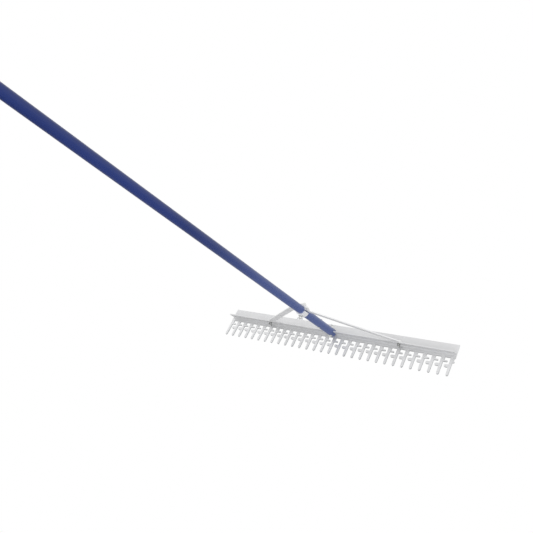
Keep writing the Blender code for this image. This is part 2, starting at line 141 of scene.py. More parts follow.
def add_camera():
    """The photograph's camera, placed and turned in the tool's own frame."""
    lens = bpy.data.cameras.new("rake_camera")
    lens.sensor_width = SENSOR_WIDTH
    lens.lens = FOCAL_LENGTH_IN_PIXELS / PICTURE_WIDTH * SENSOR_WIDTH
    lens.clip_end = 50.0
    camera = bpy.data.objects.new("rake_camera", lens)
    bpy.context.scene.collection.objects.link(camera)
    right = CAMERA_RIGHT.normalized()
    forward = (CAMERA_FORWARD - right * CAMERA_FORWARD.dot(right)).normalized()
    up = right.cross(forward)
    turn = Matrix((right, up, -forward)).transposed().to_4x4()
    camera.matrix_world = TOOL @ Matrix.Translation(CAMERA_AT) @ turn
    bpy.context.scene.camera = camera
    return camera


camera = add_camera()
print("the camera stands at", [round(value, 3) for value in camera.matrix_world.translation])

# %% [markdown]
# ## Finishes
# A finish is a few layers of noise that drive colour, roughness and bump. Rolled and extruded metal
# has fine lines along the way it was drawn, so its noise is stretched by a Mapping node: coarse
# along the lines and very fine across them. All patterns read Object coordinates, in metres.

# %% Building blocks for the finishes
def new_finish(name, roughness, metallic=0.0):
    """A Principled material; returns the material, its shader and its node tree."""
    finish = bpy.data.materials.new(name)
    finish.use_nodes = True
    tree = finish.node_tree
    shader = tree.nodes["Principled BSDF"]
    shader.inputs["Roughness"].default_value = roughness
    shader.inputs["Metallic"].default_value = metallic
    return finish, shader, tree


def noise(tree, scale, stretch=(1, 1, 1), turn=0.0, detail=3.0, rough=0.5):
    """Noise on Object coordinates; stretch is coarse where its numbers are small."""
    place = tree.nodes.new("ShaderNodeTexCoord")
    mapping = tree.nodes.new("ShaderNodeMapping")
    mapping.inputs["Scale"].default_value = stretch
    mapping.inputs["Rotation"].default_value = (0, 0, turn)
    texture = tree.nodes.new("ShaderNodeTexNoise")
    texture.inputs["Scale"].default_value = scale
    texture.inputs["Detail"].default_value = detail
    texture.inputs["Roughness"].default_value = rough
    tree.links.new(place.outputs["Object"], mapping.inputs["Vector"])
    tree.links.new(mapping.outputs["Vector"], texture.inputs["Vector"])
    return texture.outputs["Fac"]


def along_y(tree, start, end):
    """0 to 1 along the world's y, which is nearly the handle's own line."""
    place = tree.nodes.new("ShaderNodeTexCoord")
    parts = tree.nodes.new("ShaderNodeSeparateXYZ")
    tree.links.new(place.outputs["Object"], parts.inputs["Vector"])
    return between(tree, parts.outputs["Y"], 0, 1, start, end)


def colours(tree, source, stops):
    """A colour ramp from (position, colour) stops."""
    ramp = tree.nodes.new("ShaderNodeValToRGB")
    while len(ramp.color_ramp.elements) < len(stops):
        ramp.color_ramp.elements.new(0.5)
    for element, (position, colour) in zip(ramp.color_ramp.elements, stops):
        element.position = position
        element.color = (*colour, 1.0)
    tree.links.new(source, ramp.inputs["Fac"])
    return ramp.outputs["Color"]


def blend(tree, amount, first, second):
    """Mixes two colours by the amount."""
    mix = tree.nodes.new("ShaderNodeMix")
    mix.data_type = "RGBA"
    tree.links.new(amount, mix.inputs["Factor"])
    tree.links.new(first, mix.inputs["A"])
    tree.links.new(second, mix.inputs["B"])
    return mix.outputs["Result"]


def between(tree, source, low, high, start=0.3, end=0.7):
    """Turns noise into numbers from low to high."""
    mapped = tree.nodes.new("ShaderNodeMapRange")
    mapped.inputs["From Min"].default_value = start
    mapped.inputs["From Max"].default_value = end
    mapped.inputs["To Min"].default_value = low
    mapped.inputs["To Max"].default_value = high
    tree.links.new(source, mapped.inputs["Value"])
    return mapped.outputs["Result"]


def bumps(tree, shader, source, height, strength=1.0):
    """Raises the surface by height metres where the source is bright."""
    bump = tree.nodes.new("ShaderNodeBump")
    bump.inputs["Strength"].default_value = strength
    bump.inputs["Distance"].default_value = height
    tree.links.new(source, bump.inputs["Height"])
    tree.links.new(bump.outputs["Normal"], shader.inputs["Normal"])


print("finish helpers ready")

# %% [markdown]
# ## Aluminium
# The head is an extrusion and the bars are rolled, so all of them carry fine drawn lines. The finish
# is between metal and pale oxide, which keeps it light without a mirror's look. The lines follow each
# bar, so every bar has a copy turned its own way. Where a punch cut the teeth, the metal is torn and
# duller, and those faces get a finish of their own.

# %% Finish: brushed aluminium
BAR_TURN = math.radians(43)


def brushed_aluminium(name, light, turn=0.0):
    """Mill-finish aluminium with fine lines along x, or along x turned about z."""
    finish, shader, tree = new_finish(name, 0.42, 0.55)
    lines = noise(tree, 60, (0.5, 14, 14), turn, detail=4)
    clouds = noise(tree, 9, (0.6, 1.6, 1.6), turn, detail=4)
    shade = colours(tree, clouds, [(0.3, (light * 0.95, light * 0.955, light * 0.965)),
                                   (0.7, (light * 1.04, light * 1.04, light * 1.05))])
    tree.links.new(shade, shader.inputs["Base Color"])
    tree.links.new(between(tree, lines, 0.36, 0.52), shader.inputs["Roughness"])
    bumps(tree, shader, lines, 0.00002, 0.5)
    return finish


def punched_edge():
    """The torn grey edge that a punch leaves, streaked and duller than the plate's faces."""
    finish, shader, tree = new_finish("punched_edge", 0.6, 0.85)
    streaks = noise(tree, 300, (1, 1, 0.3), detail=4)
    shade = colours(tree, streaks, [(0.3, (0.50, 0.51, 0.515)), (0.7, (0.66, 0.67, 0.675))])
    tree.links.new(shade, shader.inputs["Base Color"])
    tree.links.new(between(tree, streaks, 0.5, 0.7), shader.inputs["Roughness"])
    bumps(tree, shader, streaks, 0.00006, 0.6)
    return finish


HEAD_FINISH = brushed_aluminium("extruded_aluminium", 0.70)
EDGE_FINISH = punched_edge()
LEFT_BAR_FINISH = brushed_aluminium("left_bar_aluminium", 0.82, -BAR_TURN)
RIGHT_BAR_FINISH = brushed_aluminium("right_bar_aluminium", 0.78, BAR_TURN)
# The clamp's aluminium is made lighter than the rest: a painted highlight for the glare on it.
CLAMP_PAINTED_HIGHLIGHT_FINISH = brushed_aluminium("clamp_aluminium_painted_highlight", 0.92)
print("aluminium:", HEAD_FINISH.name, LEFT_BAR_FINISH.name, RIGHT_BAR_FINISH.name, CLAMP_PAINTED_HIGHLIGHT_FINISH.name)

# %% [markdown]
# ## Paint
# The handle's paint is a satin blue. One flat colour would do from afar, but in the photograph the
# blue is paler near the head and deeper up the handle, where the tube reflects less light. That is
# painted shade: two patchy blues, a lit one and a shaded one, are blended along it. A long, narrow
# noise in the roughness gives the hair scratches, and a very small bump gives the orange peel of
# sprayed paint.

# %% Finish: blue paint
# Painted shade along the handle: the lit blue stands at the first y, the shaded blue at the second.
PAINTED_LIGHT_AT = 0.75    # y in the world, close to the head
PAINTED_SHADE_AT = -0.05   # y in the world, about half way up the handle


def blue_tube_paint():
    """Satin paint with hair scratches; its blue is paler near the head and deeper up the handle as
    painted shade.
    """
    finish, shader, tree = new_finish("blue_tube_paint", 0.3)
    patches = noise(tree, 6, (1, 0.4, 1), detail=4)
    # The pale blue is the lit tube and the deep blue is painted shade up the handle.
    pale = colours(tree, patches, [(0.3, (0.070, 0.105, 0.265)), (0.7, (0.092, 0.130, 0.325))])
    deep = colours(tree, patches, [(0.3, (0.008, 0.021, 0.115)), (0.7, (0.015, 0.033, 0.165))])
    shade = blend(tree, along_y(tree, PAINTED_LIGHT_AT, PAINTED_SHADE_AT), pale, deep)
    tree.links.new(shade, shader.inputs["Base Color"])
    scratches = noise(tree, 220, (1, 0.03, 1), detail=2)
    tree.links.new(between(tree, scratches, 0.26, 0.38), shader.inputs["Roughness"])
    shader.inputs["Specular IOR Level"].default_value = 0.35
    bumps(tree, shader, noise(tree, 900, detail=1), 0.00001, 0.35)
    return finish


TUBE_FINISH = blue_tube_paint()
print("paint:", TUBE_FINISH.name)

# %% [markdown]
# ## Small parts
# Bolts and washers are plated with bright zinc. The wing nuts are cast, so they are greyer and
# pitted. The two under the rib are darker than those on the handle, which is painted shade under the
# rib.
# The cap is soft vinyl, and the dowel in the foot is hardwood, whose end shows in the slot. Pictures
# could be wrapped around all of these, but noise needs no unwrapping and stays fine however close one
# looks.

# %% Finish: zinc, vinyl and wood
def bright_zinc():
    """Zinc plating, with its cloudy grain and faint yellow cast."""
    finish, shader, tree = new_finish("bright_zinc", 0.3, 1.0)
    grain = noise(tree, 500, detail=4)
    shade = colours(tree, grain, [(0.3, (0.66, 0.67, 0.66)), (0.7, (0.82, 0.82, 0.78))])
    tree.links.new(shade, shader.inputs["Base Color"])
    tree.links.new(between(tree, grain, 0.24, 0.42), shader.inputs["Roughness"])
    bumps(tree, shader, noise(tree, 1600, detail=2), 0.00001, 0.5)
    return finish


def cast_zinc(name, light):
    """The wing nuts: die-cast, so greyer, rougher and finely pitted."""
    finish, shader, tree = new_finish(name, 0.45, 0.95)
    grain = noise(tree, 700, detail=5)
    shade = colours(tree, grain, [(0.3, (light * 0.84, light * 0.85, light * 0.85)),
                                  (0.7, (light * 1.14, light * 1.15, light * 1.14))])
    tree.links.new(shade, shader.inputs["Base Color"])
    tree.links.new(between(tree, grain, 0.36, 0.55), shader.inputs["Roughness"])
    bumps(tree, shader, grain, 0.00005, 0.6)
    return finish


def black_vinyl():
    """Soft black vinyl with a leathery grain and a little dust."""
    finish, shader, tree = new_finish("black_vinyl", 0.55)
    dust = noise(tree, 60, detail=5)
    shade = colours(tree, dust, [(0.35, (0.012, 0.012, 0.013)), (0.8, (0.045, 0.045, 0.045))])
    tree.links.new(shade, shader.inputs["Base Color"])
    tree.links.new(between(tree, dust, 0.48, 0.68), shader.inputs["Roughness"])
    bumps(tree, shader, noise(tree, 1400, detail=2), 0.00004, 0.6)
    return finish


def turned_wood():
    """Plain hardwood, its grain along the handle."""
    finish, shader, tree = new_finish("turned_wood", 0.75)
    grain = noise(tree, 160, (1, 0.06, 1), detail=5)
    shade = colours(tree, grain, [(0.3, (0.38, 0.24, 0.12)), (0.7, (0.62, 0.44, 0.25))])
    tree.links.new(shade, shader.inputs["Base Color"])
    bumps(tree, shader, grain, 0.00008, 0.6)
    return finish


ZINC_FINISH = bright_zinc()
HANDLE_NUT_FINISH = cast_zinc("pale_cast_zinc", 0.72)
# The rib's nuts get a darker copy of the cast zinc: painted shade under the rib.
RIB_NUT_PAINTED_SHADE_FINISH = cast_zinc("cast_zinc_painted_shade", 0.34)
VINYL_FINISH = black_vinyl()
WOOD_FINISH = turned_wood()
print("small parts:", ZINC_FINISH.name, HANDLE_NUT_FINISH.name, RIB_NUT_PAINTED_SHADE_FINISH.name,
      VINYL_FINISH.name, WOOD_FINISH.name)

# %% [markdown]
# ## Tools for the pieces
# New pieces are drawn around the world's middle, standing on z, where their numbers are simple.
# `settle` then carries them to their place and writes that place into the mesh. A round piece
# starts as one circle, which is extruded and resized ring by ring along its profile.

# %% Helpers
FLIP = Matrix.Rotation(math.pi, 4, "X")
FIT = 0.0003             # the gap that is left between pieces that touch
WELD = 0.000002          # points nearer than this are one


def only(piece):
    """Selects one piece and makes it active."""
    bpy.ops.object.select_all(action="DESELECT")
    piece.select_set(True)
    bpy.context.view_layer.objects.active = piece


def apply_modifiers(piece):
    only(piece)
    for modifier in list(piece.modifiers):
        bpy.ops.object.modifier_apply(modifier=modifier.name)


def settle(piece, place):
    """Carries a piece to a place in the tool's frame and writes the place into its mesh."""
    piece.matrix_world = TOOL @ place
    only(piece)
    bpy.ops.object.transform_apply(location=True, rotation=True, scale=True)


def dress(piece, finish, *nodes):
    """Gives a piece its finish and the body of the nodes it replaces, and hides those nodes."""
    piece.data.materials.clear()
    piece.data.materials.append(finish)
    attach(piece, frame["nodes"][nodes[0]]["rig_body"])
    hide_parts(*nodes)


def smooth(piece, degrees=35):
    only(piece)
    bpy.ops.object.shade_smooth_by_angle(angle=math.radians(degrees))


def round_edges(piece, width, segments=2, degrees=40):
    """A narrow bevel on every sharp edge, with the flat faces kept flat in shading."""
    bevel = piece.modifiers.new("round_edges", "BEVEL")
    bevel.width = width
    bevel.segments = segments
    bevel.limit_method = "ANGLE"
    bevel.angle_limit = math.radians(degrees)
    bevel.use_clamp_overlap = True
    apply_modifiers(piece)
    smooth(piece, 50)
    flat = piece.modifiers.new("flat_faces", "WEIGHTED_NORMAL")
    flat.keep_sharp = True
    apply_modifiers(piece)


def combine(piece, other, operation):
    """Joins or cuts a piece with another, which is then removed."""
    step = piece.modifiers.new("combine", "BOOLEAN")
    step.operation = operation
    step.solver = "EXACT"
    step.object = other
    apply_modifiers(piece)
    bpy.data.objects.remove(other, do_unlink=True)


def turned(name, profile, hollow=False, sides=48):
    """A round piece about z from (radius, height) points; hollow closes the profile on itself."""
    bpy.ops.object.select_all(action="DESELECT")
    radius, height = profile[0]
    bpy.ops.mesh.primitive_circle_add(vertices=sides, radius=radius, location=(0, 0, 0))
    piece = bpy.context.object
    piece.name = name
    bpy.ops.object.mode_set(mode="EDIT")
    bpy.ops.mesh.select_all(action="SELECT")
    bpy.ops.transform.translate(value=(0, 0, height))
    if not hollow:
        bpy.ops.mesh.edge_face_add()
    for next_radius, next_height in profile[1:] + (profile[:1] if hollow else []):
        bpy.ops.mesh.extrude_edges_move()
        bpy.ops.transform.translate(value=(0, 0, next_height - height))
        grow = next_radius / radius
        bpy.ops.transform.resize(value=(grow, grow, 1), center_override=(0, 0, next_height))
        radius, height = next_radius, next_height
    if not hollow:
        bpy.ops.mesh.edge_face_add()
    bpy.ops.mesh.select_all(action="SELECT")
    bpy.ops.mesh.remove_doubles(threshold=WELD)
    bpy.ops.mesh.normals_make_consistent(inside=False)
    bpy.ops.object.mode_set(mode="OBJECT")
    return piece


def measures(piece):
    """A piece's sides in whole tenths of a millimetre, for printing."""
    return [round(side * 1000, 1) for side in piece.dimensions]


# %% [markdown]
# ## Head
# The head is one extrusion, a plate with a rib, and its teeth are punched out of the plate. It could
# be drawn again with a cut for each tooth, but the CAD already has the right shape, down to the
# barbs. What it lacks is the tiny rounding of every real edge, which catches the light. So it is
# copied, its loose triangles are merged and its flat faces joined, and a narrow bevel goes on. The
# cut edges get a finish of their own, because a punch leaves them duller than the drawn faces.

# %% Helper: a copy with broken edges
CAD_WELD = 0.000005                # corners of the CAD's loose triangles, nearer than this, are one
FLAT_WITHIN = math.radians(0.5)    # triangles that tilt less than this become one face


def broken_edges(node, name, finish, width):
    """A copy of a CAD node with its edges bevelled by the width."""
    source = frame["nodes"][node]
    piece = bpy.data.objects.new(name, source.data.copy())
    bpy.context.scene.collection.objects.link(piece)
    only(piece)
    bpy.ops.object.mode_set(mode="EDIT")
    bpy.ops.mesh.select_all(action="SELECT")
    bpy.ops.mesh.remove_doubles(threshold=CAD_WELD)
    bpy.ops.mesh.dissolve_limited(angle_limit=FLAT_WITHIN)
    bpy.ops.object.mode_set(mode="OBJECT")
    round_edges(piece, width)
    dress(piece, finish, node)
    print(name, len(piece.data.polygons), "faces,", measures(piece), "mm")
    return piece


# %% The toothed head
PUNCHED_EDGE = 0.0003              # a punch leaves a narrow rounding, a saw and a file a wider one
TOOTH_LEAN = math.radians(15)
CUTS_BELOW = -0.012                # all cuts lie lower than this under the rib
SIDEWAYS = 0.35                    # a face looks along the plate where its normal leaves it by less


def dull_cut_edges(piece):
    """The faces that look along the plate, and not out of it, get the punched finish."""
    upright = Vector((0, -math.cos(TOOTH_LEAN), math.sin(TOOTH_LEAN)))
    out_of_plate = (TOOL.to_3x3() @ upright).normalized()
    piece.data.materials.append(EDGE_FINISH)
    count = 0
    for face in piece.data.polygons:
        below_rib = (FROM_WORLD @ face.center).z < CUTS_BELOW
        if below_rib and abs(face.normal.dot(out_of_plate)) < SIDEWAYS:
            face.material_index = 1
            count += 1
    print(count, "cut faces")


head = broken_edges("rake_head", "toothed_head", HEAD_FINISH, PUNCHED_EDGE)
dull_cut_edges(head)

# %% [markdown]
# ## Braces and clamp
# Each brace is a flat bar from the rib to the handle, formed at its upper end into a strap over it.
# The left strap lies on the right one, and a half clamp closes the ring from below. They could be
# bent here from straight bars, but the CAD has bent them already, so they only need their edges
# broken, a little wider than the head's.

# %% The braces and the clamp
SAWN_EDGE = 0.0005

for node, name, finish in (("left_brace", "left_brace_bar", LEFT_BAR_FINISH),
                           ("right_brace", "right_brace_bar", RIGHT_BAR_FINISH),
                           ("handle_clamp", "handle_half_clamp", CLAMP_PAINTED_HIGHLIGHT_FINISH)):
    broken_edges(node, name, finish, SAWN_EDGE)

# %% [markdown]
# ## Handle
# The handle is a thin-walled tube, slotted at its foot to go over the rib. A cylinder with a Solidify
# modifier could make it, but a turned section also gives the softened ends: it closes on itself, up
# the outside and back down the bore. Many sides keep the outline round. The slot and the holes for
# the fasteners are then cut through the wall.

# %% The tube
TUBE_WALL = 0.0016
TUBE_SOFT = 0.0004
RIB_SLOT_HALF = 0.0023
RIB_SLOT_END = 0.0323
FASTENER_HOLES = {"foot_bolt": 0.0033, "saddle_bolt": 0.0033, "dowel_rivet": 0.0027}


def handle_line(distance):
    """Stands a piece made along z on the handle's line, the given distance from the rib's root."""
    return Matrix.Translation((0, -distance, 0)) @ Matrix.Rotation(math.pi / 2, 4, "X")


def make_tube():
    """The painted tube, with its ends softened, its slot and the holes of its three fasteners."""
    bore, soft = TUBE_RADIUS - TUBE_WALL, TUBE_SOFT
    outside = [(TUBE_RADIUS - soft, 0), (TUBE_RADIUS, soft),
               (TUBE_RADIUS, TUBE_LENGTH - soft), (TUBE_RADIUS - soft, TUBE_LENGTH)]
    inside = [(bore + soft, TUBE_LENGTH), (bore, TUBE_LENGTH - soft),
              (bore, soft), (bore + soft, 0)]
    tube = turned("blue_tube", outside + inside, hollow=True, sides=96)
    settle(tube, handle_line(TUBE_FOOT))

    bpy.ops.object.select_all(action="DESELECT")
    bpy.ops.mesh.primitive_cube_add(size=1, location=(0, 0, 0),
                                    scale=(4 * TUBE_RADIUS, 2 * RIB_SLOT_END, 2 * RIB_SLOT_HALF))
    slot = bpy.context.object
    settle(slot, Matrix.Identity(4))
    combine(tube, slot, "DIFFERENCE")
    for node, radius in FASTENER_HOLES.items():
        low, high = box_of(node)
        bit = turned("bit", [(radius, -2 * TUBE_RADIUS), (radius, 2 * TUBE_RADIUS)], sides=32)
        settle(bit, Matrix.Translation((0, (low.y + high.y) / 2, 0)))
        combine(tube, bit, "DIFFERENCE")
    smooth(tube)
    dress(tube, TUBE_FINISH, "handle_tube")
    return tube


tube = make_tube()
print("tube:", len(tube.data.polygons), "faces,", measures(tube), "mm")

# %% [markdown]
# ## Cap
# The vinyl cap is a soft cup that hugs the tube's butt. A bevelled cylinder would look the same from
# outside, but it would be solid. One turned profile gives the hollow too: it runs from the floor
# inside the cup, over the thin lip, to the outer corner, a quarter circle of short steps.

# %% The cap on its butt
CAP_FLOOR = 0.003
CAP_SOFT = 0.003
CAP_LIP = 0.0005
CORNER_STEPS = 6


def make_cap():
    """The cup on the handle's end, turned from its inner floor to the middle of its outer end."""
    low, high = box_of("handle_end_cap")
    radius, length = high.x, high.y - low.y
    bore, floor = TUBE_RADIUS + FIT, length - CAP_FLOOR
    middle = (radius - CAP_SOFT, length - CAP_SOFT)
    angles = [math.pi / 2 * step / CORNER_STEPS for step in range(CORNER_STEPS + 1)]
    corner = [(middle[0] + CAP_SOFT * math.cos(angle), middle[1] + CAP_SOFT * math.sin(angle))
              for angle in angles]
    inside = [(bore, floor), (bore, CAP_LIP)]
    lip = [(bore + CAP_LIP, 0), (radius - CAP_LIP, 0), (radius, CAP_LIP)]
    cap = turned("butt_cap", inside + lip + corner + [(radius * 0.2, length)], sides=96)
    settle(cap, handle_line(-high.y))
    smooth(cap)
    dress(cap, VINYL_FINISH, "handle_end_cap")
    return cap


cap = make_cap()
print("cap:", measures(cap), "mm")

# %% [markdown]
# ## Dowel
# The dowel fills the tube's foot, so that the rivet and the bolt can't crush it. Only its end shows,
# in the slot, so the CAD's own shape is kept and just gets its wood.

# %% The dowel in its foot
dowel = frame["nodes"]["foot_dowel"]
dowel.data.materials.clear()
dowel.data.materials.append(WOOD_FINISH)
print("dowel:", measures(dowel), "mm, in", WOOD_FINISH.name)

# %% [markdown]
# ## Washers
# Washers spread the pull of the bolts. Those at the braces are flat rings with soft corners. Those on
# the handle, the strap and the clamp are saddles. A ring could be bent to the curve with a modifier,
# but it is simpler to turn it thick and then cut away a cylinder of the size of what carries it, and
# the seat fits exactly.

# %% Washers
FLAT_WASHERS = ("left_brace_washer", "left_rib_washer", "right_brace_washer", "right_rib_washer")
SADDLE_WASHERS = {"foot_upper_saddle_washer": TUBE_RADIUS, "foot_lower_saddle_washer": TUBE_RADIUS,
                  "saddle_upper_saddle_washer": STRAPS_OUTER,
                  "saddle_lower_saddle_washer": CLAMP_OUTER}
RIB_WASHER_BORE = 0.0028
HANDLE_WASHER_BORE = 0.0033


def washer_profile(radius, bore, low, high, soft=0.0002):
    """A ring's section with its four corners taken off."""
    return [(radius - soft, low), (radius, low + soft), (radius, high - soft), (radius - soft, high),
            (bore + soft, high), (bore, high - soft), (bore, low + soft), (bore + soft, low)]


def make_washer(node, bore, carrier=0.0):
    """A washer in its node's box; a carrier's radius hollows it from below."""
    low, high = box_of(node)
    middle = (low + high) / 2
    washer = turned(f"{node}_finished", washer_profile((high.x - low.x) / 2, bore, low.z, high.z),
                    hollow=True)
    settle(washer, Matrix.Translation((middle.x, middle.y, 0)))
    if carrier:
        seat = turned("seat", [(carrier + FIT, -0.02), (carrier + FIT, 0.02)], sides=192)
        settle(seat, handle_line(-middle.y))
        combine(washer, seat, "DIFFERENCE")
    smooth(washer)
    dress(washer, ZINC_FINISH, node)


for node in FLAT_WASHERS:
    make_washer(node, RIB_WASHER_BORE)
for node, carrier in SADDLE_WASHERS.items():
    make_washer(node, HANDLE_WASHER_BORE, carrier)
print("washers:", len(FLAT_WASHERS) + len(SADDLE_WASHERS))

# %% [markdown]
# ## Bolts and rivet
# The rib's bolts have low domed heads and the handle's have hexagons. A real thread is a helix, but
# at this size a row of fine ridges looks the same and costs far fewer faces, so each shank is turned
# about its own axis, ridges and end chamfer included. A hexagon's top corners are rounded by keeping
# only what it shares with a turned, tapered button.

# %% Bolts and the rivet
RIB_BOLT_RADIUS = 0.0025
HANDLE_BOLT_RADIUS = 0.003
DOME_RADIUS = 0.005
DOME_HEIGHT = 0.0028
HEX_HEIGHT = 0.004
HEX_ACROSS = 0.010
BUTTON_TOP = 0.0048         # the button's radius at the top of the head
BUTTON_SPREAD = 0.0016      # and how much wider it is at its foot
OVERLAP = 0.001             # pieces that are joined reach this far into each other
RIVET_RADIUS = 0.0024
RIVET_HEAD_RADIUS = 0.0048
RIVET_HEAD_HEIGHT = 0.0022
PITCH = 0.0009
THREAD_DEPTH = 0.0004
THREAD_LENGTH = 0.012


def dome(radius, height, steps=8):
    """A low dome's profile, from near its top down to its rim."""
    angles = [math.pi / 2 * step / steps for step in range(1, steps + 1)]
    return [(radius * math.sin(angle), height * math.cos(angle)) for angle in angles]


def shank(radius, length):
    """A shank from z = 0 down, its last stretch threaded and its end chamfered."""
    points = [(radius, 0), (radius, -length + THREAD_LENGTH)]
    ridges = int(THREAD_LENGTH / PITCH) - 1
    for ridge in range(ridges):
        height = -length + THREAD_LENGTH - ridge * PITCH
        points += [(radius - THREAD_DEPTH, height - PITCH * 0.5), (radius, height - PITCH)]
    return points + [(radius, -length + THREAD_DEPTH), (radius - THREAD_DEPTH * 1.5, -length)]


def bolt_place(node, head_height, head_up):
    """Where a bolt's seat is, and how long it is below its head."""
    low, high = box_of(node)
    middle = (low + high) / 2
    length = high.z - low.z - head_height
    if head_up:
        return Matrix.Translation((middle.x, middle.y, high.z - head_height)), length
    return Matrix.Translation((middle.x, middle.y, low.z + head_height)) @ FLIP, length


def make_domed_bolt(node):
    """A bolt turned in one piece, its dome at the top."""
    place, length = bolt_place(node, DOME_HEIGHT, True)
    profile = dome(DOME_RADIUS, DOME_HEIGHT) + shank(RIB_BOLT_RADIUS, length)
    bolt = turned(f"{node}_finished", profile)
    settle(bolt, place)
    smooth(bolt, 40)
    dress(bolt, ZINC_FINISH, node)


def make_hex_bolt(node, head_up):
    """A six-sided head with its top corners rounded off, on a turned shank."""
    place, length = bolt_place(node, HEX_HEIGHT, head_up)
    bpy.ops.object.select_all(action="DESELECT")
    bpy.ops.mesh.primitive_cylinder_add(vertices=6, radius=HEX_ACROSS / 2 / math.cos(math.pi / 6),
                                        depth=HEX_HEIGHT, location=(0, 0, HEX_HEIGHT / 2))
    bolt = bpy.context.object
    bolt.name = f"{node}_finished"
    bpy.ops.object.transform_apply(location=True)

    tapered = [(BUTTON_TOP + BUTTON_SPREAD * down, -OVERLAP + (HEX_HEIGHT + OVERLAP) * (1 - down))
               for down in [step / 4 for step in range(5)]]
    combine(bolt, turned("button", tapered), "INTERSECT")
    stem = [(HANDLE_BOLT_RADIUS, OVERLAP)] + shank(HANDLE_BOLT_RADIUS, length)
    combine(bolt, turned("stem", stem), "UNION")
    settle(bolt, place)
    smooth(bolt, 30)
    dress(bolt, ZINC_FINISH, node)


def make_rivet():
    """Two domed heads on a plain shank, the same above and below its middle."""
    low, high = box_of("dowel_rivet")
    middle = (low + high) / 2
    seat = high.z - middle.z - RIVET_HEAD_HEIGHT
    top = [(radius, seat + up) for radius, up in dome(RIVET_HEAD_RADIUS, RIVET_HEAD_HEIGHT)]
    bottom = [(radius, -up) for radius, up in reversed(top)]
    rivet = turned("rivet_finished", top + [(RIVET_RADIUS, seat), (RIVET_RADIUS, -seat)] + bottom)
    settle(rivet, Matrix.Translation(middle))
    smooth(rivet, 40)
    dress(rivet, ZINC_FINISH, "dowel_rivet")


make_domed_bolt("left_brace_bolt")
make_domed_bolt("right_brace_bolt")
make_hex_bolt("foot_bolt", head_up=False)
make_hex_bolt("saddle_bolt", head_up=True)
make_rivet()
print("bolts and rivet made")

# %% [markdown]
# ## Wing nuts
# A wing nut is a casting: a cone with two ears drawn out of it. It could be sculpted, but steps with
# numbers can be repeated and measured. One wing is a block whose end face is extruded along a list
# of sections and then subdivided. It is mirrored, joined to the cone and bored. A voxel remesh and a
# little smoothing then give it the soft corners of cast metal.

# %% One wing
# A section is its place along the wing, its low edge and its high edge, in parts of reach and height.
WING_ROOT = (0.2, 0.05, 0.55)
WING_SECTIONS = [(0.42, 0.08, 0.60), (0.66, 0.16, 0.84), (0.86, 0.36, 1.00), (1.02, 0.56, 0.98)]
WING_THICKNESS = 0.0024
ROOT_THICKER = 1.5          # the block at the root, against the wing
WING_TAPER = 1.06           # each section against the next one


def pick_faces(piece, wanted):
    """Goes into edit mode with only those faces picked that the test wants."""
    only(piece)
    bpy.ops.object.mode_set(mode="EDIT")
    bpy.ops.mesh.select_mode(type="FACE")
    bpy.ops.mesh.select_all(action="DESELECT")
    bpy.ops.object.mode_set(mode="OBJECT")
    for face in piece.data.polygons:
        face.select = wanted(face)
    bpy.ops.object.mode_set(mode="EDIT")


def make_wing(reach, height):
    """One wing along +x, from the nut's middle out to its reach."""
    at, low, high = WING_ROOT
    thick = ROOT_THICKER
    bpy.ops.object.select_all(action="DESELECT")
    bpy.ops.mesh.primitive_cube_add(
        size=1, location=(at / 2 * reach, 0, (low + high) / 2 * height),
        scale=(at * reach, WING_THICKNESS * thick, (high - low) * height))
    wing = bpy.context.object
    bpy.ops.object.transform_apply(location=True, scale=True)
    pick_faces(wing, lambda face: face.normal.x > 0.9)
    for next_at, next_low, next_high in WING_SECTIONS:
        bpy.ops.mesh.extrude_region_move()
        rise = ((next_low + next_high) - (low + high)) / 2
        bpy.ops.transform.translate(value=((next_at - at) * reach, 0, rise * height))
        middle = (next_low + next_high) / 2 * height
        bpy.ops.transform.resize(value=(1, 1 / thick, (next_high - next_low) / (high - low)),
                                 center_override=(next_at * reach, 0, middle))
        at, low, high, thick = next_at, next_low, next_high, WING_TAPER
    bpy.ops.object.mode_set(mode="OBJECT")
    rounder = wing.modifiers.new("rounder", "SUBSURF")
    rounder.levels = rounder.render_levels = 3
    other = wing.modifiers.new("other_wing", "MIRROR")
    other.merge_threshold = 0.00001
    apply_modifiers(wing)
    return wing


print("a wing is drawn out in", len(WING_SECTIONS), "steps from its root")

# %% The whole nut
HUB_RADIUS = 0.0052
HUB_TOP_RADIUS = HUB_RADIUS * 0.82
HUB_HEIGHT = 0.006
HUB_SOFT = 0.0005
CAST_GRAIN = 0.0003


def make_wing_nut(name, span, height, bolt_radius):
    """A cast nut about z that stands on z = 0, with its wings along x."""
    foot = [(HUB_RADIUS - HUB_SOFT, 0), (HUB_RADIUS, HUB_SOFT)]
    top = [(HUB_TOP_RADIUS, HUB_HEIGHT - HUB_SOFT), (HUB_TOP_RADIUS - HUB_SOFT, HUB_HEIGHT)]
    nut = turned(name, foot + top)
    combine(nut, make_wing(span / 2, height), "UNION")
    bit = turned("bit", [(bolt_radius + FIT, -0.01), (bolt_radius + FIT, 0.02)])
    combine(nut, bit, "DIFFERENCE")
    cast = nut.modifiers.new("cast", "REMESH")
    cast.mode = "VOXEL"
    cast.voxel_size = CAST_GRAIN
    soften = nut.modifiers.new("soften", "SMOOTH")
    soften.factor = 0.5
    soften.iterations = 3
    apply_modifiers(nut)
    to_size = (span / nut.dimensions.x, 1, height / nut.dimensions.z, 1)
    nut.data.transform(Matrix.Diagonal(to_size))
    smooth(nut, 60)
    return nut


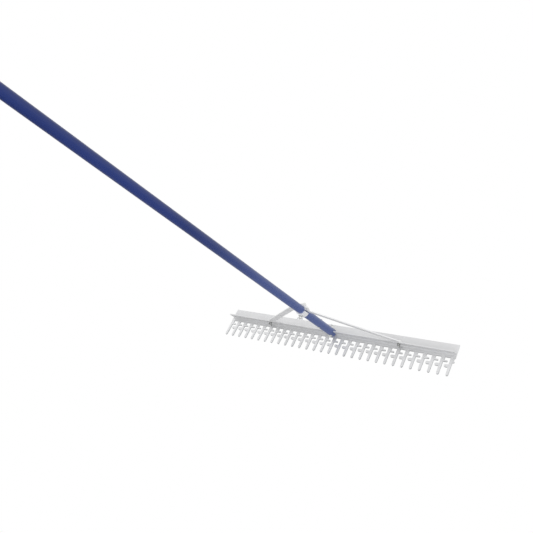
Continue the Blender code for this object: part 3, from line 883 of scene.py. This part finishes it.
def place_wing_nut(pattern, node, finish, above):
    """A copy of the pattern on its bolt, its wings turned the way the CAD nut's wings lie."""
    low, high = box_of(node)
    middle = (low + high) / 2
    nut = bpy.data.objects.new(f"{node}_cast", pattern.data.copy())
    bpy.context.scene.collection.objects.link(nut)
    across = 0.0 if high.x - low.x > high.y - low.y else math.pi / 2
    seat = Matrix.Translation((middle.x, middle.y, low.z)) if above else (
        Matrix.Translation((middle.x, middle.y, high.z)) @ FLIP)
    settle(nut, seat @ Matrix.Rotation(across, 4, "Z"))
    dress(nut, finish, node)
    return nut


def nut_size(node):
    """The CAD nut's span and height."""
    low, high = box_of(node)
    return max(high.x - low.x, high.y - low.y), high.z - low.z


for node in ("foot_wing_nut", "left_wing_nut"):
    print(node, "span and height", [round(size * 1000, 1) for size in nut_size(node)], "mm")

# %% The four wing nuts
handle_nut = make_wing_nut("handle_nut_pattern", *nut_size("foot_wing_nut"), HANDLE_BOLT_RADIUS)
rib_nut = make_wing_nut("rib_nut_pattern", *nut_size("left_wing_nut"), RIB_BOLT_RADIUS)
place_wing_nut(handle_nut, "foot_wing_nut", HANDLE_NUT_FINISH, above=True)
place_wing_nut(handle_nut, "saddle_wing_nut", HANDLE_NUT_FINISH, above=False)
place_wing_nut(rib_nut, "left_wing_nut", RIB_NUT_PAINTED_SHADE_FINISH, above=False)
place_wing_nut(rib_nut, "right_wing_nut", RIB_NUT_PAINTED_SHADE_FINISH, above=False)
for pattern in (handle_nut, rib_nut):
    print(pattern.name, len(pattern.data.polygons), "faces,", measures(pattern), "mm")
    bpy.data.objects.remove(pattern, do_unlink=True)

# %% [markdown]
# ## Floor
# The photograph has a plain white ground and no shadow, and it looks at the teeth from below. The
# floor could be left out, but then the rake would hang in the air in all other views. So it is only
# there from above: seen from below, or on a lamp's ray, it lets light through. Far from the rake it
# fades into the white world, so that no edge of it shows.

# %% Building blocks for floor and world
def greatest(tree, *sources):
    """The greatest of several values, so 1 wherever any of them is 1."""
    result = sources[0]
    for source in sources[1:]:
        larger = tree.nodes.new("ShaderNodeMath")
        larger.operation = "MAXIMUM"
        tree.links.new(result, larger.inputs[0])
        tree.links.new(source, larger.inputs[1])
        result = larger.outputs["Value"]
    return result


def choose(tree, amount, first, second, target):
    """Sends the first shader to the target, and the second where the amount is 1."""
    mix = tree.nodes.new("ShaderNodeMixShader")
    tree.links.new(amount, mix.inputs["Fac"])
    tree.links.new(first, mix.inputs[1])
    tree.links.new(second, mix.inputs[2])
    tree.links.new(mix.outputs["Shader"], target)


print("floor and world helpers ready")

# %% Floor
FLOOR_SIZE = 20.0
FLOOR_GREY = 0.74
FADE_START = 1.5
FADE_END = 9.5


def add_floor():
    """A matt floor that is clear from below, to lamps and far away."""
    bpy.ops.object.select_all(action="DESELECT")
    bpy.ops.mesh.primitive_plane_add(size=FLOOR_SIZE, location=(0, 0, 0))
    floor = bpy.context.object
    floor.name = "studio_floor"
    paint, shader, tree = new_finish("pale_floor", 0.9)
    shader.inputs["Base Color"].default_value = (FLOOR_GREY, FLOOR_GREY, FLOOR_GREY, 1)
    shader.inputs["Specular IOR Level"].default_value = 0.1
    side = tree.nodes.new("ShaderNodeNewGeometry")
    ray = tree.nodes.new("ShaderNodeLightPath")
    place = tree.nodes.new("ShaderNodeTexCoord")
    away = tree.nodes.new("ShaderNodeVectorMath")
    away.operation = "LENGTH"
    tree.links.new(place.outputs["Object"], away.inputs[0])
    faded = between(tree, away.outputs["Value"], 0, 1, FADE_START, FADE_END)
    unseen = greatest(tree, side.outputs["Backfacing"], ray.outputs["Is Shadow Ray"], faded)
    clear = tree.nodes.new("ShaderNodeBsdfTransparent")
    choose(tree, unseen, shader.outputs["BSDF"], clear.outputs["BSDF"],
           tree.nodes["Material Output"].inputs["Surface"])
    floor.data.materials.append(paint)
    floor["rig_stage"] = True
    return floor


floor = add_floor()
print("floor at", floor.location.z, "and", FLOOR_SIZE, "m wide")

# %% [markdown]
# ## World and lamps
# The world is white to the camera and to gloss, and a little softer as a light. A picture of a studio
# could light the rake too, but lamps are easier to steer. Two broad ones stand to the sides, and a
# third, strong one shines up through the floor, because the photograph shows the underside of the
# rib nearly as light as its face.

# %% World and lamps
WORLD_LIGHT = 0.8
LAMP_SIZE = 3.0
LAMP_TARGET = (0, 0.2, 0)
LAMPS = {"key_lamp": ((2.6, -1.8, 2.8), 9),
         "side_lamp": ((-3.0, -0.6, 1.8), 8),
         "low_lamp": ((1.4, -2.0, -1.8), 72)}


def white_ground(tree, strength):
    """A plain white background of the given strength."""
    ground = tree.nodes.new("ShaderNodeBackground")
    ground.inputs["Color"].default_value = (1, 1, 1, 1)
    ground.inputs["Strength"].default_value = strength
    return ground.outputs["Background"]


def light_the_world(ambient):
    """White where it is seen, mirrored or looked through, and the ambient strength as a light."""
    world = bpy.data.worlds.new("studio_white")
    bpy.context.scene.world = world
    world.use_nodes = True
    tree = world.node_tree
    tree.nodes.clear()
    ray = tree.nodes.new("ShaderNodeLightPath")
    seen = greatest(tree, ray.outputs["Is Camera Ray"], ray.outputs["Is Glossy Ray"],
                    ray.outputs["Is Transmission Ray"])
    out = tree.nodes.new("ShaderNodeOutputWorld")
    choose(tree, seen, white_ground(tree, ambient), white_ground(tree, 1.0), out.inputs["Surface"])


def add_lamp(name, place, power):
    """A round area lamp at a place, turned to the rake."""
    lamp = bpy.data.lights.new(name, "AREA")
    lamp.shape = "DISK"
    lamp.size = LAMP_SIZE
    lamp.energy = power
    thing = bpy.data.objects.new(name, lamp)
    bpy.context.scene.collection.objects.link(thing)
    way = Vector(place) - Vector(LAMP_TARGET)
    thing.matrix_world = Matrix.Translation(place) @ way.to_track_quat("Z", "Y").to_matrix().to_4x4()


bpy.context.scene.view_settings.view_transform = "Standard"
light_the_world(WORLD_LIGHT)
for name, (place, power) in LAMPS.items():
    add_lamp(name, place, power)
print("lamps:", {name: power for name, (place, power) in LAMPS.items()})

# %% [markdown]
# ## Sizes
# Both boxes, the frame's and the dressed model's, are printed at the end. The dressed model
# may not outgrow its frame.

# %% Print the sizes
for label, low, high in (("frame", cad_low, cad_high), ("dressed", *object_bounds())):
    print(label, [round((b - a) * 1000, 1) for a, b in zip(low, high)], "mm")
low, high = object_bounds()
